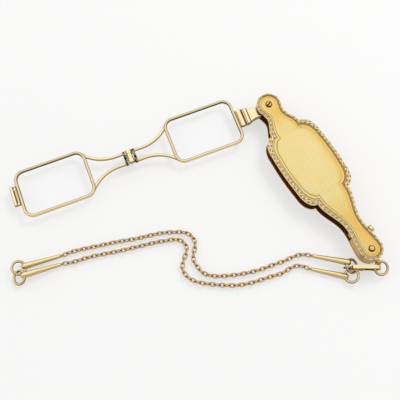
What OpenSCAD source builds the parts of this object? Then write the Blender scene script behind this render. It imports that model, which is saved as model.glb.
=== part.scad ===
// Folding lorgnette: a shaped, shallow case on a long taper, with a pair of
// framed lenses that folds at its bridge and swings out of the case's open side.
// +Z is up. The origin is on the pivot axis, in the plane of the case's back rim.
// The case runs along -Y. The open pair of lenses points to -X and a little to +Y.

/* [Case] */
// Distance from the pivot screw to the rivet in the lower end
case_length = 71.3; // [68:0.5:78]
// Greatest width across the body
case_width = 24; // [23.4:0.2:28]
// Thickness over the two borders
case_thickness = 7.45; // [7.3:0.05:9]
// Radius of the rounded end round the pivot
pivot_end_radius = 5.1; // [4.8:0.1:6]
// Radius of the rounded end round the rivet
rivet_end_radius = 4.7; // [4.4:0.1:6]
// Width of the neck below the pivot
neck_width = 8.2; // [7.6:0.2:9.6]
// Width at the upper notches
upper_notch_width = 13.6; // [13:0.2:16]
// Width at the lower notches
lower_notch_width = 14.6; // [14:0.2:17]
// Width of the slim waist above the rivet
waist_width = 7.2; // [6.8:0.2:9]
// Distance from the pivot to the upper notches
upper_notch_at = 12.9; // [12.4:0.1:13.4]
// Distance from the pivot to the lower notches
lower_notch_at = 45.8; // [45.2:0.2:48]
// Distance from the pivot to the slim waist
waist_at = 60; // [58.5:0.5:62]
// Thickness of each sheet plate
sheet = 0.6; // [0.5:0.05:0.7]
// Height of a border above its plate
border_height = 0.65; // [0.55:0.05:0.75]
// Width of the border along the sides
border_width = 1.5; // [1.2:0.1:1.8]
// Height of the chased panel above its plate
panel_height = 0.45; // [0.3:0.05:0.5]
// Thickness of the wall along the closed side
wall = 0.4; // [0.3:0.05:0.5]

/* [Pair of lenses] */
// Angle between the case and the open pair
open_angle = 101; // [95:1:110]
// Distance from the pivot to the hinge of the bridge
bridge_at = 60.75; // [60:0.25:62.5]
// Distance between the centres of the two lenses
lens_spacing = 64.1; // [63:0.1:65]
// Length of a lens frame between wire centres
frame_length = 28.8; // [27:0.2:29]
// Height of a lens frame between wire centres
frame_height = 19.4; // [17:0.2:20]
// Radius of a frame's corners at the wire centre
frame_corner = 3.6; // [2.6:0.1:4]
// Width of the frame wire, seen from the front
wire_width = 1.25; // [1.2:0.05:1.5]
// Depth of the frame wire along the line of sight
wire_depth = 1.5; // [1.3:0.05:1.5]
// Height of the near frame's back above the table
frame_lift = 2.6; // [2.5:0.05:2.7]
// Gap between the two frames when they lie folded
fold_gap = 0.3; // [0.2:0.05:0.35]
// Thickness of the glass
glass = 0.7; // [0.5:0.05:0.8]

/* [Bridge hinge] */
// Diameter of the two bridge wires
bridge_wire = 1.3; // [1.1:0.05:1.35]
// Distance between the bridge wires at the hinge
bridge_spread = 4.6; // [4.2:0.1:5]
// Radius of the sweep from a frame's corner to the hinge
bridge_sweep = 16.5; // [15:0.5:20]
// Length of the knuckles together
barrel_length = 5.5; // [5.2:0.1:5.8]
// Diameter of the outer knuckles
knuckle = 2.5; // [2.3:0.1:2.6]
// Diameter of the hinge pin
hinge_pin = 0.9; // [0.7:0.05:1]

/* [Pivot and catch] */
// Diameter of the pivot screw's shaft
pivot_screw = 2; // [1.8:0.1:2.4]
// Diameter of the pivot screw's head
pivot_head = 2.9; // [2.7:0.1:3.4]
// Diameter of the lower rivet's shaft
rivet = 1.6; // [1.4:0.1:2]
// Diameter of the lower rivet's domed head
rivet_head = 2.7; // [2.4:0.1:3.2]
// Thickness of the arm that carries the lenses
arm = 2.4; // [2:0.1:2.4]
// Distance of the release button from the pivot
button_at = 64.5; // [64:0.25:66]
// Diameter of the release button
button = 2.6; // [2.2:0.1:3]

/* [Rings, clip and chain] */
// Radius of every split ring at the wire centre
ring_radius = 2.6; // [2.5:0.05:2.8]
// Diameter of the ring wire
ring_wire = 1; // [0.9:0.05:1.05]
// Diameter of a baton at the ring
baton_wide = 2.5; // [2.3:0.05:2.6]
// Diameter of a baton at the chain
baton_slim = 1.4; // [1.2:0.05:1.5]
// Distance between neighbouring chain links
link_pitch = 1.92; // [1.9:0.02:2.1]
// Width of a chain link
link_width = 2; // [1.9:0.05:2.1]
// Diameter of the chain wire
link_wire = 0.5; // [0.4:0.02:0.52]

/* [Hidden] */
$fn = 48;

// Colours
gold = "#d9b45f";
pale_gold = "#e6c987";
dark_gold = "#a8843c";
clear = [0.85, 0.9, 0.92, 0.35];

// Clearances
slack = 0.05;       // round a turning shaft
seat = 0.1;         // between flat faces that pass each other

// Heights in the case, from the table up
floor_z = border_height + sheet;
roof_z = case_thickness - floor_z;
middle_z = case_thickness / 2;
rim_z = frame_lift + wire_depth / 2;
hinge_z = frame_lift + wire_depth + fold_gap / 2;

// Outline of the case: ramps between the named widths, quarter ovals at the shoulders
groove = 0.4;               // gap between border and panel
neck_at = 5;                // distance from the pivot to the neck
neck_from = 30;             // angle below level where the rounded end runs into the neck
shoulder = 7.1;             // length of a rounded shoulder along the case
side_bulge = 0.4;           // swell of the long sides
steps = 8;                  // points on each curve

function ease(a, b, t) = a + (b - a) * (1 - cos(180 * t)) / 2;
function ramp(x1, y1, x2, y2) = [for (i = [1:steps]) [ease(x1, x2, i / steps), y1 + (y2 - y1) * i / steps]];
function arc(cy, r, a1, a2) = [for (i = [0:steps]) let (a = a1 + (a2 - a1) * i / steps) [r * cos(a), cy + r * sin(a)]];
function oval(cx, cy, a, b, t1, t2) =
    [for (i = [0:steps]) let (t = t1 + (t2 - t1) * i / steps) [cx + a * cos(t), cy + b * sin(t)]];

// The right half, from the top down, drawn in by d
function half_outline(d) = let (
    top_r = pivot_end_radius - 0.7 * d,
    end_r = rivet_end_radius - 0.75 * d,
    neck = neck_width / 2 - 0.8 * d,
    upper = upper_notch_width / 2 - 0.9 * d,
    lower = lower_notch_width / 2 - 0.9 * d,
    waist = waist_width / 2 - 0.8 * d,
    side = case_width / 2 - side_bulge - d,
    upper_y = -upper_notch_at - d - shoulder,
    lower_y = -lower_notch_at + d + shoulder
) concat(
    arc(0, top_r, 90, -neck_from),
    ramp(top_r * cos(neck_from), -top_r * sin(neck_from), neck, -neck_at),
    ramp(neck, -neck_at, upper, -upper_notch_at - 0.35 * d),
    oval(upper, upper_y, side - upper, shoulder, 90, 0),
    [for (i = [1:steps - 1]) [side + side_bulge * sin(180 * i / steps), upper_y + (lower_y - upper_y) * i / steps]],
    oval(lower, lower_y, side - lower, shoulder, 0, -90),
    [[lower, -lower_notch_at + 0.35 * d]],
    ramp(lower, -lower_notch_at + 0.35 * d, waist, -waist_at),
    ramp(waist, -waist_at, end_r, -case_length),
    [for (p = arc(-case_length, end_r, 0, -90)) if (p[1] < -case_length - 0.01) p]
);
function outline(d) = let (h = half_outline(d), n = len(h))
    concat(h, [for (i = [n - 2:-1:1]) [-h[i][0], h[i][1]]]);

module slab(d, z1, z2) {
    translate([0, 0, z1]) linear_extrude(z2 - z1) polygon(outline(d));
}

// Turns the children upside down for the front of the case
module front() {
    translate([0, 0, case_thickness]) mirror([0, 0, 1]) children();
}

// The plate with its chased panel, lying as the back one
module plate() {
    difference() {
        union() {
            slab(0, border_height, floor_z);
            slab(border_width + groove, border_height - panel_height, border_height + sheet / 2);
        }
        cylinder(d = pivot_screw, h = 3 * floor_z, center = true);
        translate([0, -case_length, 0]) cylinder(d = rivet, h = 3 * floor_z, center = true);
    }
}

// The leafy border: one rounded section carried round the outline
border_section = [[0, 1], [0, 0.6], [0.12, 0.22], [0.5, 0], [0.88, 0.22], [1, 0.6], [1, 1]];
module border() {
    rings = [for (s = border_section) [for (p = outline(s[0] * border_width)) [p[0], p[1], s[1] * border_height]]];
    n = len(rings[0]);
    m = len(rings);
    polyhedron(
        points = [for (r = rings, p = r) p],
        faces = [for (j = [0:m - 1], i = [0:n - 1], half = [0:1])
            let (a = j * n + i, b = j * n + (i + 1) % n, c = ((j + 1) % m) * n + i, e = ((j + 1) % m) * n + (i + 1) % n)
            half == 0 ? [a, c, b] : [b, c, e]],
        convexity = 8
    );
}

module back_plate() {
    color(gold) plate();
}

module back_border() {
    color(pale_gold) border();
}

module front_plate() {
    color(gold) front() plate();
}

module front_border() {
    color(pale_gold) front() border();
}

// The wall runs up the closed side and over the pivot end, where it stops the arm
wall_inset = 0.1;
closed_below = 64;          // distance from the pivot below which both sides are closed
arm_neck = 5.5;             // width of the arm where it passes the stop
hinge_window = [3.6, 3.4];  // where the folded hinge shows through the wall
module side_wall() {
    color(dark_gold) difference() {
        slab(wall_inset, floor_z, roof_z);
        slab(wall_inset + wall, floor_z - 1, roof_z + 1);
        intersection() {
            rotate([0, 0, 90 - open_angle]) translate([-case_length, -2 * case_length, 0])
                cube([2 * case_length, 2 * case_length + arm_neck / 2 + seat, case_thickness]);
            translate([-case_length, -closed_below, 0]) cube([case_length, 2 * case_length, case_thickness]);
        }
        translate([waist_width / 2, -bridge_at, hinge_z])
            cube([2 * wall + 1, hinge_window[0], hinge_window[1]], center = true);
        translate([waist_width / 2, -button_at, middle_z])
            cube([2 * wall + 2, stem + 2 * button_travel, stem + 4 * seat], center = true);
    }
}

// A drilled lug under the rounded end carries the ring
eye_at = case_length + rivet_end_radius + 0.85;
eye_radius = 1.3;
eye_width = 1.2;
eye_bore = ring_wire + 0.5;
module case_eye() {
    color(gold) difference() {
        translate([0, -eye_at, middle_z]) rotate([0, 90, 0]) union() {
            cylinder(r = eye_radius, h = eye_width, center = true);
            translate([-eye_radius, 0, -eye_width / 2]) cube([2 * eye_radius, 2, eye_width]);
        }
        translate([0, -eye_at, middle_z]) rotate([0, 90, 0]) cylinder(d = eye_bore, h = 3, center = true);
        slab(wall_inset, 0, case_thickness);
    }
}

// Pivot: a slotted screw through a bush, with a washer each side of the arm
head_height = 0.5;
slot_width = 0.4;
module pivot_screw() {
    top = case_thickness - border_height + panel_height;
    color(pale_gold) difference() {
        union() {
            cylinder(d = pivot_screw, h = top);
            translate([0, 0, top]) cylinder(d = pivot_head, h = head_height);
        }
        translate([0, 0, top + head_height]) rotate([0, 0, 19])
            cube([2 * pivot_head, slot_width, head_height], center = true);
    }
}

bush_wall = 0.6;
module pivot_bush() {
    color(dark_gold) translate([0, 0, floor_z]) difference() {
        cylinder(d = pivot_screw + 2 * bush_wall, h = roof_z - floor_z);
        translate([0, 0, -1]) cylinder(d = pivot_screw, h = case_thickness);
    }
}

washer = 6.6;
arm_z = middle_z - arm / 2;
module pivot_washers() {
    for (z = [floor_z, arm_z + arm + slack])
        color(dark_gold) translate([0, 0, z]) difference() {
            cylinder(d = washer, h = arm_z - slack - floor_z);
            translate([0, 0, -1]) cylinder(d = pivot_screw + 2 * bush_wall, h = case_thickness);
        }
}

// The lower rivet holds the plates together and carries the catch
dome_height = 0.6;
module bottom_rivet() {
    back = border_height - panel_height;
    top = case_thickness - back;
    dome_r = (pow(rivet_head / 2, 2) + pow(dome_height, 2)) / (2 * dome_height);
    color(pale_gold) translate([0, -case_length, 0]) {
        translate([0, 0, back]) cylinder(d = rivet, h = top - back);
        translate([0, 0, back - seat]) cylinder(d = rivet_head, h = seat);
        intersection() {
            translate([0, 0, top + dome_height - dome_r]) sphere(dome_r);
            translate([0, 0, top]) cylinder(d = rivet_head, h = dome_height);
        }
    }
}

// Inner face of the wall between the waist and the lower rivet, y from the pivot
function wall_x(y) = ease(waist_width / 2, rivet_end_radius, (y - waist_at) / (case_length - waist_at))
    - 0.8 * (wall_inset + wall);

// The catch: a lever on the lower rivet whose nose hooks over the end of the folded hinge
press_angle = 7;            // turn of the lever when the button is pressed home
lever = 1.6;                // thickness
lever_z = middle_z - lever / 2;
lever_boss = 1.9;
lever_bar = [0.7, 2.3];     // the upright bar, from the centre line
stem = 1.5;                 // diameter of the button's stem
button_travel = (case_length - button_at) * sin(press_angle);
nose_overlap = 0.35;
nose_width = 0.45;
nose_x = barrel_length / 2 + seat + nose_width;
nose_top = bridge_at + knuckle / 2 - nose_overlap;
bar_top = nose_top + 0.85;  // the crossbar's upper edge
bar_foot = bar_top + 0.9;
module catch_lever() {
    color(dark_gold) translate([0, -case_length, 0]) difference() {
        union() {
            translate([0, 0, floor_z + slack]) cylinder(r = lever_boss, h = roof_z - floor_z - 2 * slack);
            translate([0, 0, lever_z]) linear_extrude(lever) {
                translate([lever_bar[0], 0]) square([lever_bar[1] - lever_bar[0], case_length - bar_top]);
                translate([-nose_x, case_length - bar_foot]) square([nose_x + lever_bar[1], bar_foot - bar_top]);
                translate([-nose_x, case_length - bar_foot]) square([nose_width, bar_foot - nose_top]);
            }
        }
        cylinder(d = rivet + 2 * slack, h = 3 * case_thickness, center = true);
    }
}

button_from = wall_x(button_at) + wall + wall_inset + button_travel + seat;
button_length = 1.7;
module catch_button() {
    color(pale_gold) translate([0, -button_at, middle_z]) rotate([0, 90, 0]) {
        translate([0, 0, lever_bar[1]]) cylinder(d = stem, h = button_from - lever_bar[1]);
        translate([0, 0, button_from]) intersection() {
            cylinder(d = button, h = button_length);
            translate([0, 0, button_length - button]) sphere(r = button);
        }
    }
}

// A bowed leaf stands on the wall and pushes the lever towards the button's side
leaf = 0.25;
leaf_foot = 1.7;            // height of its foot above the rivet
leaf_bow = 5;               // outer radius of the bow
module catch_spring() {
    centre_x = leaf_bow + seat - wall_x(case_length - leaf_foot);
    sweep = 180 - acos((lever_bar[0] - seat - leaf / 2 - centre_x) / leaf_bow);
    color(dark_gold) translate([centre_x, leaf_foot - case_length, lever_z])
        rotate([0, 0, 180 - sweep]) rotate_extrude(angle = sweep) translate([leaf_bow - leaf, 0]) square([leaf, lever]);
}

// Places the children in the frame of the open pair, which lies along -X
module pair() {
    rotate([0, 0, 90 - open_angle]) children();
}

// Places the children from the hinge, with +X towards the near or the far lens
module half_pair(far) {
    pair() translate([-bridge_at, 0, 0]) mirror([far ? 1 : 0, 0, 0]) children();
}

lens_at = lens_spacing / 2;
block = 1.6;                // thickness of the blocks that close the rims
block_height = 9.6;
band = [1.6, 0.3, 1.35];    // first band, groove, second band
rim_outside = lens_at + frame_length / 2 + wire_width / 2;
near_block_from = bridge_at - rim_outside;
near_block_to = near_block_from - band[0] - band[1] - band[2];
eye_r = 4.1;
tang = 2;                   // length of the wide end of the arm
module arm_shank() {
    flare = 1.9;
    tang_from = near_block_to - tang;
    color(gold) pair() translate([0, 0, arm_z]) difference() {
        linear_extrude(arm) {
            circle(eye_r);
            translate([-near_block_to + tang, -arm_neck / 2]) square([near_block_to - tang, arm_neck]);
            difference() {
                translate([-near_block_to, -block_height / 2 + 0.4]) square([tang + flare, block_height - 0.8]);
                for (s = [-1, 1])
                    translate([-tang_from + flare, s * (arm_neck / 2 + flare)]) circle(flare);
            }
        }
        translate([0, 0, -1]) cylinder(d = pivot_screw + 2 * bush_wall + 2 * slack, h = arm + 2);
    }
}

module bored_block(from, direction) {
    screw_x = from + direction * band[0] / 2;
    difference() {
        union() {
            band_box(from, direction * band[0], block_height, block);
            band_box(from + direction * band[0], direction * band[1], block_height - 1, block - 0.5);
            band_box(from + direction * (band[0] + band[1]), direction * band[2], block_height - 0.4, block);
        }
        for (s = [-1, 1])
            translate([screw_x, s * screw_at, rim_z]) cylinder(d = small_screw, h = 2 * block, center = true);
    }
}

module band_box(from, length, height, thick) {
    translate([min(from, from + length), -height / 2, rim_z - thick / 2]) cube([abs(length), height, thick]);
}

small_screw = 0.9;
screw_at = 3.2;
module screw_pair(x) {
    for (s = [-1, 1])
        translate([x, s * screw_at, rim_z]) difference() {
            cylinder(d = small_screw, h = block, center = true);
            translate([0, 0, block / 2]) rotate([0, 0, 40 * s]) cube([2, 0.2, 0.4], center = true);
        }
}

module near_block() {
    color(gold) half_pair(false) bored_block(rim_outside, 1);
}

module near_screws() {
    color(pale_gold) half_pair(false) screw_pair(rim_outside + band[0] / 2);
}

// The outer block swings over the near one, so it is as long and no longer
module far_block() {
    color(gold) half_pair(true) bored_block(rim_outside, 1);
}

module far_screws() {
    color(pale_gold) half_pair(true) screw_pair(rim_outside + band[0] / 2);
}

// Section of the frame wire: rounded outside, grooved inside for the glass
groove_depth = 0.5;
module wire_section(grooved) {
    difference() {
        intersection() {
            square([wire_width, wire_depth], center = true);
            circle(d = 1.25 * wire_depth);
        }
        if (grooved)
            translate([-wire_width / 2 - 1 + groove_depth, -glass / 2]) square([1, glass]);
    }
}

// A wire carried round a rectangle with rounded corners
module wire_frame(grooved) {
    for (q = [0:3]) {
        along = q % 2 == 0 ? frame_length : frame_height;
        across = q % 2 == 0 ? frame_height : frame_length;
        rotate([0, 0, 90 * q]) {
            translate([0, across / 2, 0]) rotate([90, 0, 90])
                linear_extrude(along - 2 * frame_corner, center = true) wire_section(grooved);
            translate([along / 2 - frame_corner, across / 2 - frame_corner, 0])
                rotate_extrude(angle = 90) translate([frame_corner, 0]) wire_section(grooved);
        }
    }
}

module rim(far) {
    half_pair(far) translate([lens_at, 0, rim_z]) wire_frame(true);
}

module near_rim() {
    color(gold) rim(false);
}

module far_rim() {
    color(gold) rim(true);
}

module rounded(w, h, r) {
    square([w - 2 * r, h], center = true);
    square([w, h - 2 * r], center = true);
    for (x = [-1, 1], y = [-1, 1])
        translate([x * (w / 2 - r), y * (h / 2 - r)]) circle(r);
}

module lens(far) {
    hold = groove_depth - slack - wire_width / 2;
    half_pair(far) translate([lens_at, 0, rim_z]) linear_extrude(glass - 0.02, center = true)
        rounded(frame_length + 2 * hold, frame_height + 2 * hold, frame_corner + hold);
}

module near_lens() {
    color(clear) lens(false);
}

module far_lens() {
    color(clear) lens(true);
}

// Bridge wires: straight from the hinge, then a sweep that meets the frame's corner
leaf_from = 1.5;
leaf_to = 2.6;
corner_x = lens_at - frame_length / 2 + frame_corner;
corner_y = frame_height / 2 - frame_corner;
sweep_y = bridge_spread / 2 + bridge_sweep;
sweep_x = corner_x - sqrt(pow(bridge_sweep + frame_corner, 2) - pow(sweep_y - corner_y, 2));
sweep_turn = 90 + atan2(corner_y - sweep_y, corner_x - sweep_x);
module bridge_wires() {
    difference() {
        for (s = [0, 1]) mirror([0, s, 0]) translate([0, 0, rim_z]) {
            translate([leaf_to - seat, bridge_spread / 2, 0]) rotate([0, 90, 0])
                cylinder(d = bridge_wire, h = sweep_x - leaf_to + seat);
            translate([sweep_x, sweep_y, 0]) rotate([0, 0, -90]) rotate_extrude(angle = sweep_turn)
                translate([bridge_sweep, 0]) circle(d = bridge_wire);
        }
        translate([lens_at, 0, rim_z]) {
            wire_frame(false);
            linear_extrude(2 * wire_depth, center = true) rounded(frame_length, frame_height, frame_corner);
        }
    }
}

knuckle_gap = 0.08;
middle_knuckle = 0.4 * barrel_length;
module knuckle_bar(from, to, d, bore) {
    difference() {
        union() {
            translate([0, from, hinge_z]) rotate([-90, 0, 0]) cylinder(d = d, h = to - from);
            translate([0, from, hinge_z - d / 2])
                cube([leaf_from + 0.2, to - from, d / 2 - fold_gap / 2]);
        }
        translate([0, from - 1, hinge_z]) rotate([-90, 0, 0]) cylinder(d = bore, h = to - from + 2);
    }
}

module bridge_leaf() {
    width = bridge_spread + bridge_wire;
    translate([leaf_from, -width / 2, frame_lift]) cube([leaf_to - leaf_from, width, wire_depth]);
}

module near_bridge() {
    reach = barrel_length / 2;
    inner = middle_knuckle / 2 + knuckle_gap;
    color(gold) half_pair(false) {
        bridge_wires();
        bridge_leaf();
        knuckle_bar(inner, reach, knuckle, hinge_pin);
        knuckle_bar(-reach, -inner, knuckle, hinge_pin);
    }
}

module far_bridge() {
    color(gold) half_pair(true) {
        bridge_wires();
        bridge_leaf();
        knuckle_bar(-middle_knuckle / 2, middle_knuckle / 2, knuckle - 0.3, hinge_pin + 2 * slack);
    }
}

// The pin has a turned end; the cap on its other end matches it
cap_r = 0.8;
cap_rim = 0.25;
knob_r = 0.6;
knob_at = 0.05;
module turned_end() {
    cylinder(r = cap_r, h = cap_rim);
    intersection() {
        translate([0, 0, knob_at]) sphere(r = knob_r);
        cylinder(r = cap_r, h = 2 * cap_r);
    }
}

module hinge_pin() {
    color(pale_gold) half_pair(false) translate([0, 0, hinge_z]) rotate([-90, 0, 0]) {
        translate([0, 0, -barrel_length / 2]) cylinder(d = hinge_pin, h = barrel_length);
        translate([0, 0, barrel_length / 2]) turned_end();
    }
}

module hinge_cap() {
    color(pale_gold) half_pair(false) translate([0, -barrel_length / 2, hinge_z]) rotate([90, 0, 0]) turned_end();
}

// Turns p by a degrees about the unit vector v
function turned(p, a, v) = p * cos(a) + cross(v, p) * sin(a) + v * (v * p) * (1 - cos(a));
function flat_vector(a) = [cos(a), sin(a), 0];

// A ring lies at centre c, tipped by tip about the level line at angle line
function ring_point(ring, a) = ring[0] + turned(ring_radius * flat_vector(a), ring[2], flat_vector(ring[1]));
module ring_body(wire, from) {
    rotate([0, 0, from]) rotate_extrude() translate([ring_radius, 0]) circle(d = wire);
}
module ring(place, wire, from) {
    translate(place[0]) rotate(a = place[2], v = flat_vector(place[1])) ring_body(wire, from);
}

// Two linked pairs of rings, each ring tipped its own way about the line through both centres
right_line = -126;
left_line = -114;
ring_step = 3.8;
ring_a = [[-8.9, -72.6, 1.8], right_line, -30];
ring_b = [[-8.9, -72.6, 1.75] + ring_step * flat_vector(right_line), right_line, 18];
ring_c = [[-119.4, -4.6, 1.95], left_line, -24];
ring_d = [[-119.4, -4.6, 1.75] + ring_step * flat_vector(left_line), left_line, 24];

module ring_a() {
    color(gold) ring(ring_a, ring_wire, 45);
}

module ring_b() {
    color(gold) ring(ring_b, ring_wire, 45);
}

module ring_c() {
    color(gold) ring(ring_c, ring_wire, 45);
}

module ring_d() {
    color(gold) ring(ring_d, ring_wire, 45);
}

// The ring in the case's eye leans down a little
case_ring_tip = 16;
case_ring_at = [0, -eye_at, middle_z] + turned([0, -ring_radius, 0], case_ring_tip, [1, 0, 0]);
module case_ring() {
    color(gold) translate(case_ring_at) rotate([case_ring_tip, 0, 0]) ring_body(ring_wire, 45);
}

// Lays the children's +Z along the line from p to q
module along(p, q) {
    d = q - p;
    translate(p) rotate([0, acos(d[2] / norm(d)), atan2(d[1], d[0])]) children();
}

// The clip: an eye that swivels in a collar, and a long loop closed by a sprung gate
clip_from = ring_point(ring_a, 168) + [0, 0, 0.25];
clip_to = case_ring_at + turned(ring_radius * flat_vector(147), case_ring_tip, [1, 0, 0]);
clip_lean = 92;             // slope of the loop across its length
clip_reach = norm(clip_to - clip_from);
loop_half = 1.6;            // from the loop's centre line to the middle of a bar
spine = [1.2, 1.4];         // width and thickness of the upper bar
gate_bar = [0.9, 1.1];
collar_from = 1.7;
collar_to = 2.7;
collar_r = 0.78;
swivel_r = 1.2;             // of the eye, at the wire centre
swivel_wire = 0.6;
stem_r = 0.45;
gate_pin = 0.6;
foot_at = 4.7;              // where the loop's lower bar begins
foot = 0.9;
gate_at = foot_at + foot + gate_bar[0] / 2 + seat;
hook_at = clip_reach + ring_wire / 2 + 0.4 - loop_half + spine[0] / 2;
gate_end = hook_at - 0.9;
gate_play = 0.06;
gate_cheek = 0.35;          // height of the slot's cheeks above the gate's pin
gate_step = 0.85;           // height above the pin where the gate takes its full width

module clip_frame() {
    along(clip_from, clip_to) rotate([0, 0, 90 - clip_lean]) children();
}

module clip_swivel() {
    color(pale_gold) along(clip_from, clip_to) {
        rotate([90, 0, 0]) rotate_extrude() translate([swivel_r, 0]) circle(d = swivel_wire);
        translate([0, 0, swivel_r]) cylinder(r = stem_r, h = collar_to + slack - swivel_r);
        translate([0, 0, collar_to + slack]) cylinder(r = collar_r * 0.6, h = 0.5);
    }
}

// In the clip's own frame the spine is at -X and the gate at +X, and +Z runs to the hook
module clip_body() {
    left = -loop_half - spine[0] / 2;
    right = loop_half - spine[0] / 2;
    color(gold) clip_frame() difference() {
        union() {
            translate([0, 0, collar_from]) cylinder(r = collar_r, h = collar_to - collar_from);
            translate([left, -spine[1] / 2, collar_to - foot]) cube([-left, spine[1], foot]);
            translate([left, -spine[1] / 2, collar_to - foot]) cube([spine[0], spine[1], hook_at - collar_to + foot]);
            translate([left, -spine[1] / 2, foot_at]) cube([right - left + spine[0], spine[1], foot]);
            translate([right, -spine[1] / 2, foot_at]) cube([spine[0], spine[1], gate_at + gate_cheek - foot_at]);
            translate([0, 0, hook_at]) rotate([90, 0, 0]) rotate_extrude(angle = 180)
                translate([loop_half, 0]) square([spine[0], spine[1]], center = true);
            translate([right, -spine[1] / 2, gate_end + gate_play])
                cube([spine[0], spine[1], hook_at - gate_end - gate_play]);
        }
        cylinder(r = stem_r + slack, h = collar_to + 1);
        translate([right - 1, -gate_bar[1] / 2 + 0.15, foot_at + foot]) cube([4, gate_bar[1] - 0.3, 3]);
        translate([loop_half, 0, gate_at]) rotate([90, 0, 0]) cylinder(d = gate_pin, h = 4, center = true);
    }
}

module clip_gate() {
    tongue = gate_bar[1] - 0.3 - 2 * gate_play;
    color(pale_gold) clip_frame() difference() {
        union() {
            translate([loop_half, 0, gate_at]) rotate([90, 0, 0]) cylinder(d = gate_bar[0], h = tongue, center = true);
            translate([loop_half - gate_bar[0] / 2, -tongue / 2, gate_at]) cube([gate_bar[0], tongue, gate_step + 0.3]);
            translate([loop_half - gate_bar[0] / 2, -gate_bar[1] / 2, gate_at + gate_step])
                cube([gate_bar[0], gate_bar[1], gate_end - gate_at - gate_step]);
        }
        translate([loop_half, 0, gate_at]) rotate([90, 0, 0])
            cylinder(d = gate_pin + 2 * slack, h = 4, center = true);
    }
}

module clip_pin() {
    color(dark_gold) clip_frame() translate([loop_half, 0, gate_at]) rotate([90, 0, 0])
        cylinder(d = gate_pin, h = spine[1], center = true);
}

// Chain: oval links along each route, every other link turned a quarter round its length
link_gap = 0.12;
link_offset = (link_wire + link_gap) / 2;
link_bend = (link_width - link_wire) / 2;
link_run = link_pitch / 2 + link_offset - link_bend;
link_roll = 20;
chain_z = link_bend * cos(link_roll) + link_wire / 2;

// Routes on the table, from the batons by the case to those at the far end
upper_route = [
    [-20, -60.5], [-22.5, -58.5], [-25.5, -57.5], [-29.5, -57], [-34, -56], [-39, -55], [-44, -53.5],
    [-49, -51.5], [-54, -49], [-57.5, -46.5], [-59.5, -44], [-60, -41], [-60, -38], [-58.5, -35.5],
    [-56.5, -33.5], [-55.5, -31.5], [-55.5, -29], [-57, -26.5], [-60, -24.5], [-63.5, -22.5], [-67, -21],
    [-74.5, -18.5], [-82, -15.5], [-89, -13], [-96, -10.5], [-99.5, -9.5], [-102.5, -9]
];
lower_route = [
    [-23.5, -64.5], [-25, -62.5], [-27, -61], [-30, -60.5], [-33.5, -60.5], [-37, -59.5], [-41, -58.5],
    [-45, -57.5], [-49, -56], [-52, -54.5], [-56.5, -51.5], [-61, -48], [-64, -45], [-65.5, -42],
    [-65.5, -38.5], [-63.5, -36], [-61, -34], [-59.5, -32], [-59.5, -29.5], [-61.5, -27], [-65, -25.5],
    [-68.5, -24], [-76, -21.5], [-83.5, -19], [-91.5, -16], [-96.5, -14.5], [-100.5, -13.5], [-104, -12]
];

function curve_point(p, i, t) = let (
    a = p[max(i - 1, 0)], b = p[i], c = p[i + 1], d = p[min(i + 2, len(p) - 1)]
) (2 * b + (c - a) * t + (2 * a - 5 * b + 4 * c - d) * t * t + (3 * b - a - 3 * c + d) * t * t * t) / 2;
function smooth(p) = concat([for (i = [0:len(p) - 2], k = [0:5]) curve_point(p, i, k / 6)], [p[len(p) - 1]]);
function distances(p) = [for (i = 0, s = 0; i < len(p); s = i + 1 < len(p) ? s + norm(p[i + 1] - p[i]) : s, i = i + 1) s];
function columns(p, d, k) = [for (i = [0:len(p) - 1]) [d[i], p[i][k]]];

// The points where neighbouring links meet
function stations(route) = let (
    p = smooth(route), d = distances(p), total = d[len(d) - 1], n = round(total / link_pitch),
    xs = columns(p, d, 0), ys = columns(p, d, 1)
) [for (i = [0:n]) [lookup(total * i / n, xs), lookup(total * i / n, ys), chain_z]];

module link() {
    for (s = [-1, 1]) {
        translate([s * link_run, 0, 0]) rotate([0, 0, -90 * s]) rotate_extrude(angle = 180)
            translate([link_bend, 0]) circle(d = link_wire);
        translate([0, s * link_bend, 0]) rotate([0, 90, 0]) cylinder(d = link_wire, h = 2 * link_run, center = true);
    }
}

module chain(route) {
    at = stations(route);
    for (i = [0:len(at) - 2]) {
        d = at[i + 1] - at[i];
        translate((at[i] + at[i + 1]) / 2) rotate([0, 0, atan2(d[1], d[0])])
            rotate([link_roll + (i % 2) * 90, 0, 0]) link();
    }
}

module chain_upper() {
    color(gold) chain(upper_route);
}

module chain_lower() {
    color(gold) chain(lower_route);
}

// A baton tapers from the ring to a small loop that takes the chain's last link
loop_r = 0.62;
loop_wire = 0.45;
baton_end = 0.25;           // straight part past the ring's hole
module baton(tip, place, a, roll) {
    hole = ring_point(place, a);
    length = norm(hole - tip);
    loop_z = loop_r - link_offset;
    color(gold) difference() {
        along(tip, hole) {
            translate([0, 0, loop_z]) rotate([0, 0, roll]) rotate([0, 90, 0])
                rotate_extrude() translate([loop_r, 0]) circle(d = loop_wire);
            translate([0, 0, loop_z + loop_r]) cylinder(d1 = baton_slim, d2 = baton_wide, h = length - loop_z - loop_r);
            translate([0, 0, length]) cylinder(d = baton_wide, h = baton_end);
            translate([0, 0, length + baton_end]) sphere(d = baton_wide);
        }
        ring(place, ring_wire + 0.2, a + 180);
    }
}

function first_station(route) = stations(route)[0];
function last_station(route) = let (s = stations(route)) s[len(s) - 1];
function last_roll(route) = link_roll + (len(stations(route)) - 1) % 2 * 90;

module baton_upper_right() {
    baton(first_station(upper_route), ring_a, 118, 90 - link_roll);
}

module baton_upper_left() {
    baton(last_station(upper_route), ring_c, -10, last_roll(upper_route));
}

module baton_lower_right() {
    baton(first_station(lower_route), ring_b, 150, 90 - link_roll);
}

module baton_lower_left() {
    baton(last_station(lower_route), ring_d, -12, last_roll(lower_route));
}

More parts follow.
